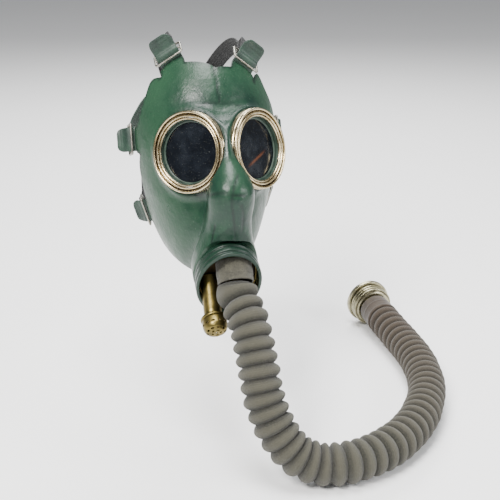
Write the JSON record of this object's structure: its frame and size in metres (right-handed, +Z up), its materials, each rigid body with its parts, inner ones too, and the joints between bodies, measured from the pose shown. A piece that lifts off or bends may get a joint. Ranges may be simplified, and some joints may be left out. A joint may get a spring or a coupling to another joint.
{
  "type": "full face respirator",
  "caption": "Rubber full face respirator with two round eyepieces, a valve box at the chin, a corrugated breathing hose and an adjustable head harness.",
  "frame": {"origin": "middle of the wearer's head at the level of the eyepieces, between the eyes from side to side", "axes": "+Z up, the wearer looks along -Y, +X to the wearer's left"},
  "size_m": [0.3194, 0.3501, 0.3608],
  "materials": {
    "green_rubber": "satin",
    "black_rubber": "matte",
    "pale_brass": "polished",
    "lacquered_brass": "lacquered",
    "nickel": "nickel-plated",
    "wire_steel": "plain",
    "dark_glass": "polished",
    "valve_mica": "matte",
    "hose_cloth": "knitted",
    "dark_elastic": "woven",
    "green_elastic": "woven"
  },
  "bodies": {
    "mask": {"exhale_flange": "lacquered_brass", "exhale_gasket": "black_rubber", "exhale_tube": "lacquered_brass", "eye_gasket_L": "black_rubber", "eye_gasket_R": "black_rubber", "eye_glass_L": "dark_glass", "eye_glass_R": "dark_glass", "eye_inner_ring_L": "pale_brass", "eye_inner_ring_R": "pale_brass", "eye_keeper_L": "black_rubber", "eye_keeper_R": "black_rubber", "eye_ring_L": "pale_brass", "eye_ring_R": "pale_brass", "facepiece": "green_rubber", "head_pad": "dark_elastic", "hose": "hose_cloth", "hose_cuff": "hose_cloth", "hose_end_cuff": "hose_cloth", "inhale_port": "lacquered_brass", "inhale_seat": "lacquered_brass", "nipple": "nickel", "nut_gasket": "black_rubber", "strap_cheek_L": "dark_elastic", "strap_cheek_R": "dark_elastic", "strap_forehead_L": "dark_elastic", "strap_forehead_R": "dark_elastic", "strap_temple_L": "green_elastic", "strap_temple_R": "green_elastic", "tab_cheek_L": "green_rubber", "tab_cheek_R": "green_rubber", "tab_forehead_L": "green_rubber", "tab_forehead_R": "green_rubber", "tab_temple_L": "green_rubber", "tab_temple_R": "green_rubber", "valve_box": "lacquered_brass"},
    "nut": {"union_nut": "nickel"},
    "inhale_valve": {"inhale_disc": "valve_mica"},
    "exhale_valve": {"exhale_disc": "valve_mica"},
    "valve_cap": {"exhale_cap": "lacquered_brass"},
    "fastener_forehead_L": {"buckle_forehead_L": "wire_steel", "strap_end_forehead_L": "dark_elastic"},
    "fastener_forehead_R": {"buckle_forehead_R": "wire_steel", "strap_end_forehead_R": "dark_elastic"},
    "fastener_temple_L": {"buckle_temple_L": "wire_steel", "strap_end_temple_L": "green_elastic"},
    "fastener_temple_R": {"buckle_temple_R": "wire_steel", "strap_end_temple_R": "green_elastic"},
    "fastener_cheek_L": {"buckle_cheek_L": "wire_steel", "strap_end_cheek_L": "dark_elastic"},
    "fastener_cheek_R": {"buckle_cheek_R": "wire_steel", "strap_end_cheek_R": "dark_elastic"}
  },
  "joints": [
    {"name": "union_nut_spin", "type": "hinge", "parent": "mask", "child": "nut", "pos_m": [0.206, 0.03, -0.2135], "axis": [-0.0816, 0.9932, 0.0829], "continuous": true},
    {"name": "inhale_disc_lift", "type": "slide", "parent": "mask", "child": "inhale_valve", "axis": [0, 0.6157, 0.788], "range_m": [0, 0.002], "stiffness_N_per_m": 30, "springref_m": -0.001},
    {"name": "exhale_disc_lift", "type": "slide", "parent": "mask", "child": "exhale_valve", "axis": [0, -0.8572, -0.515], "range_m": [0, 0.002], "stiffness_N_per_m": 30, "springref_m": -0.001},
    {"name": "valve_cap_turn", "type": "hinge", "parent": "mask", "child": "valve_cap", "pos_m": [-0.0208, -0.13872, -0.11121], "axis": [0, -0.8572, -0.515], "range_deg": [0, 90]},
    {"name": "buckle_tilt_forehead_L", "type": "hinge", "parent": "mask", "child": "fastener_forehead_L", "pos_m": [-0.04032, -0.02857, 0.10178], "axis": [0.8143, -0.2165, 0.5385], "range_deg": [-15, 7]},
    {"name": "buckle_tilt_forehead_R", "type": "hinge", "parent": "mask", "child": "fastener_forehead_R", "pos_m": [0.03044, -0.03586, 0.09581], "axis": [0.7815, 0.1205, -0.6121], "range_deg": [-15, 7]},
    {"name": "buckle_tilt_temple_L", "type": "hinge", "parent": "mask", "child": "fastener_temple_L", "pos_m": [-0.07724, -0.02017, 0.02649], "axis": [0.001, 0.3287, 0.9444], "range_deg": [-15, 8]},
    {"name": "buckle_tilt_temple_R", "type": "hinge", "parent": "mask", "child": "fastener_temple_R", "pos_m": [0.06803, -0.01034, 0.026], "axis": [0.0195, -0.3235, -0.946], "range_deg": [-15, 5]},
    {"name": "buckle_tilt_cheek_L", "type": "hinge", "parent": "mask", "child": "fastener_cheek_L", "pos_m": [-0.06694, -0.02053, -0.04734], "axis": [-0.2876, 0.0585, 0.956], "range_deg": [-15, 9]},
    {"name": "buckle_tilt_cheek_R", "type": "hinge", "parent": "mask", "child": "fastener_cheek_R", "pos_m": [0.05684, -0.01616, -0.04139], "axis": [-0.3367, -0.0898, -0.9373], "range_deg": [-15, 5]}
  ]
}
